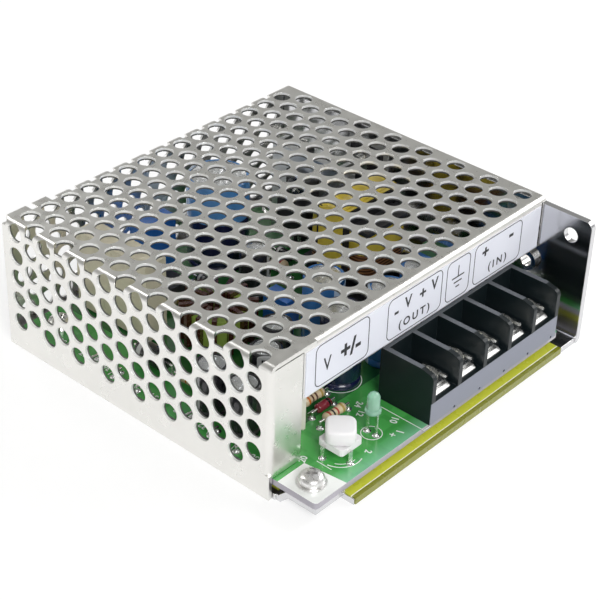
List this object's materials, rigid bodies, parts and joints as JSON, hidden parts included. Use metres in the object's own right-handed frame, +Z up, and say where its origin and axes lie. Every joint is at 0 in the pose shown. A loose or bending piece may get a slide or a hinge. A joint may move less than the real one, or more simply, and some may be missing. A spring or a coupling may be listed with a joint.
{
  "type": "enclosed switching power supply",
  "caption": "Compact switching power supply: aluminium chassis, folded perforated cover, barrier terminal block, trimmer and indicator lamp in an open wiring bay.",
  "frame": {"origin": "middle of the base's underside", "axes": "+Z up; -Y is the wiring edge with the terminals; +X is the chassis wall"},
  "size_m": [0.097, 0.099, 0.035],
  "materials": {
    "aluminium_sheet": "satin",
    "cover_metal": "satin",
    "label_film": "satin",
    "insulating_film": "satin",
    "board_green": "gloss",
    "bright_screw": "polished",
    "zinc": "satin",
    "block_black": "satin",
    "tinned_contact": "satin",
    "ivory_plastic": "gloss",
    "white_plastic": "gloss",
    "mint_lens": "gloss",
    "tinned_wire": "satin",
    "ferrite": "satin",
    "bobbin_black": "satin",
    "yellow_tape": "gloss",
    "black_sleeve": "gloss",
    "navy_sleeve": "gloss",
    "blue_sleeve": "gloss",
    "cream_plastic": "gloss",
    "blue_epoxy": "gloss",
    "green_ring": "satin",
    "dark_green_ring": "satin",
    "enamelled_copper": "polished",
    "heatsink_metal": "satin",
    "package_black": "satin",
    "grey_pad": "matte",
    "clear_glass": "polished",
    "nickel": "polished",
    "tan_body": "gloss",
    "red_body": "gloss",
    "cement": "matte"
  },
  "bodies": {
    "case": {"chassis": "aluminium_sheet", "cover": "cover_metal", "front_label": "label_film", "insulating_sheet": "insulating_film", "circuit_board": "board_green", "corner_screw": "bright_screw", "board_screws": "bright_screw", "cover_screws": "zinc", "side_inserts": "zinc", "terminal_block": "block_black", "terminal_contacts": "tinned_contact", "trimmer_base": "ivory_plastic", "trimmer_legs": "tinned_wire", "lamp_lens": "mint_lens", "lamp_leads": "tinned_wire", "transformer_core": "ferrite", "transformer_bobbin": "bobbin_black", "transformer_winding": "yellow_tape", "reservoir_capacitor": "blue_sleeve", "output_capacitor_1": "navy_sleeve", "output_capacitor_2": "blue_sleeve", "output_capacitor_3": "blue_sleeve", "output_capacitor_4": "navy_sleeve", "small_capacitors": "black_sleeve", "film_capacitor": "cream_plastic", "blue_film_capacitors": "blue_epoxy", "disc_capacitors": "blue_epoxy", "choke_core": "green_ring", "choke_winding": "enamelled_copper", "filter_core": "dark_green_ring", "filter_winding": "enamelled_copper", "heatsink": "heatsink_metal", "power_transistor": "package_black", "transistor_screw": "zinc", "rectifier": "package_black", "rectifier_pad": "grey_pad", "rectifier_screw": "zinc", "fuse_glass": "clear_glass", "fuse_caps": "nickel", "fuse_clips": "nickel", "optocoupler": "white_plastic", "control_chip": "package_black", "chip_legs": "tinned_wire", "resistors": "tan_body", "diodes": "red_body", "cement_resistor": "cement", "component_wires": "tinned_wire"},
    "trimmer_knob": {"trimmer_knob": "white_plastic"},
    "terminal_clamp_1": {"terminal_clamp_1": "tinned_contact"},
    "terminal_screw_1": {"terminal_screw_1": "bright_screw"},
    "terminal_clamp_2": {"terminal_clamp_2": "tinned_contact"},
    "terminal_screw_2": {"terminal_screw_2": "bright_screw"},
    "terminal_clamp_3": {"terminal_clamp_3": "tinned_contact"},
    "terminal_screw_3": {"terminal_screw_3": "bright_screw"},
    "terminal_clamp_4": {"terminal_clamp_4": "tinned_contact"},
    "terminal_screw_4": {"terminal_screw_4": "bright_screw"},
    "terminal_clamp_5": {"terminal_clamp_5": "tinned_contact"},
    "terminal_screw_5": {"terminal_screw_5": "bright_screw"}
  },
  "joints": [
    {"name": "trimmer_turn", "type": "hinge", "parent": "case", "child": "trimmer_knob", "pos_m": [-0.0306, -0.0396, 0.012], "axis": [0, 0, 1], "range_deg": [-135, 135]},
    {"name": "clamp_1_lift", "type": "slide", "parent": "case", "child": "terminal_clamp_1", "axis": [0, 0, 1], "range_m": [0, 0.002]},
    {"name": "screw_1_turn", "type": "hinge", "parent": "terminal_clamp_1", "child": "terminal_screw_1", "pos_m": [-0.0042, -0.042, 0.0133], "axis": [0, 0, 1], "range_deg": [0, 1440]},
    {"name": "clamp_2_lift", "type": "slide", "parent": "case", "child": "terminal_clamp_2", "axis": [0, 0, 1], "range_m": [0, 0.002]},
    {"name": "screw_2_turn", "type": "hinge", "parent": "terminal_clamp_2", "child": "terminal_screw_2", "pos_m": [0.0053, -0.042, 0.0133], "axis": [0, 0, 1], "range_deg": [0, 1440]},
    {"name": "clamp_3_lift", "type": "slide", "parent": "case", "child": "terminal_clamp_3", "axis": [0, 0, 1], "range_m": [0, 0.002]},
    {"name": "screw_3_turn", "type": "hinge", "parent": "terminal_clamp_3", "child": "terminal_screw_3", "pos_m": [0.0148, -0.042, 0.0133], "axis": [0, 0, 1], "range_deg": [0, 1440]},
    {"name": "clamp_4_lift", "type": "slide", "parent": "case", "child": "terminal_clamp_4", "axis": [0, 0, 1], "range_m": [0, 0.002]},
    {"name": "screw_4_turn", "type": "hinge", "parent": "terminal_clamp_4", "child": "terminal_screw_4", "pos_m": [0.0243, -0.042, 0.0133], "axis": [0, 0, 1], "range_deg": [0, 1440]},
    {"name": "clamp_5_lift", "type": "slide", "parent": "case", "child": "terminal_clamp_5", "axis": [0, 0, 1], "range_m": [0, 0.002]},
    {"name": "screw_5_turn", "type": "hinge", "parent": "terminal_clamp_5", "child": "terminal_screw_5", "pos_m": [0.0338, -0.042, 0.0133], "axis": [0, 0, 1], "range_deg": [0, 1440]}
  ]
}
